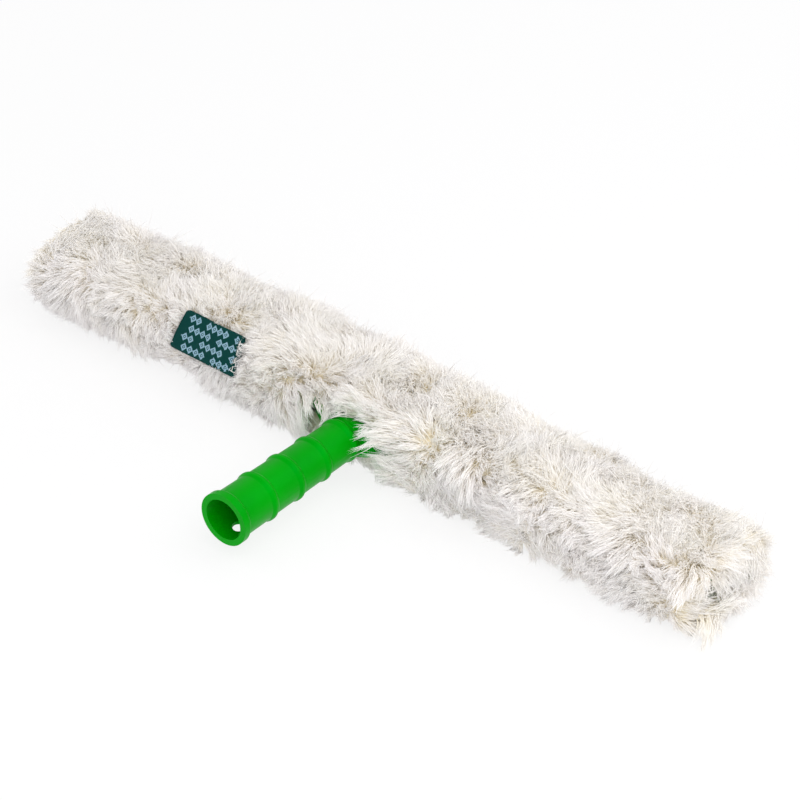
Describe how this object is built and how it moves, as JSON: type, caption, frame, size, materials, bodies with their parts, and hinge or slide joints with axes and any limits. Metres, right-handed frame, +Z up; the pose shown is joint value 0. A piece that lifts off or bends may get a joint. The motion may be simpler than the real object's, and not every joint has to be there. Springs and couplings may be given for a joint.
{
  "type": "window scrubber",
  "caption": "T-shaped window scrubber: a ringed tubular grip on a moulded head bar, in a removable plush washing sleeve with a hook and loop flap.",
  "frame": {"origin": "centre of the grip's mouth, where an extension pole goes in", "axes": "+Y from the mouth along the grip to the bar, +X along the bar with the label and the sleeve's closed end on the -X side, +Z up as the scrubber lies on a table"},
  "size_m": [0.4768, 0.168, 0.0541],
  "materials": {
    "green_plastic": "satin",
    "steel": "satin",
    "cloth": "matt",
    "pile": "matt",
    "tape": "matt",
    "thread": "matt",
    "label_cloth": "matt"
  },
  "bodies": {
    "t_bar": {"grip": "green_plastic", "head_bar": "green_plastic", "grip_screw": "steel", "screw_washer": "steel"},
    "sleeve": {"sleeve_backing": "cloth", "end_panel": "cloth", "mouth_binding": "tape", "placket": "cloth", "loop_tape": "tape", "back_seam_thread": "thread", "fold_seam_thread": "thread", "placket_thread": "thread", "label": "label_cloth", "label_thread": "thread", "upper_pile": "pile", "lower_pile": "pile", "front_pile": "pile", "back_pile": "pile", "end_pile": "pile"},
    "flap": {"flap": "cloth", "flap_binding": "tape", "hook_tape": "tape", "tape_thread": "thread", "flap_pile": "pile"}
  },
  "joints": [
    {"name": "sleeve_slide", "type": "slide", "parent": "t_bar", "child": "sleeve", "axis": [-1, 0, 0], "range_m": [0, 0.465], "deforming": ["flap", "flap_binding", "hook_tape", "tape_thread", "flap_pile"]},
    {"name": "flap_hinge", "type": "hinge", "parent": "sleeve", "child": "flap", "pos_m": [0, 0.1084, 0.0085], "axis": [-1, 0, 0], "range_deg": [0, 120]}
  ]
}
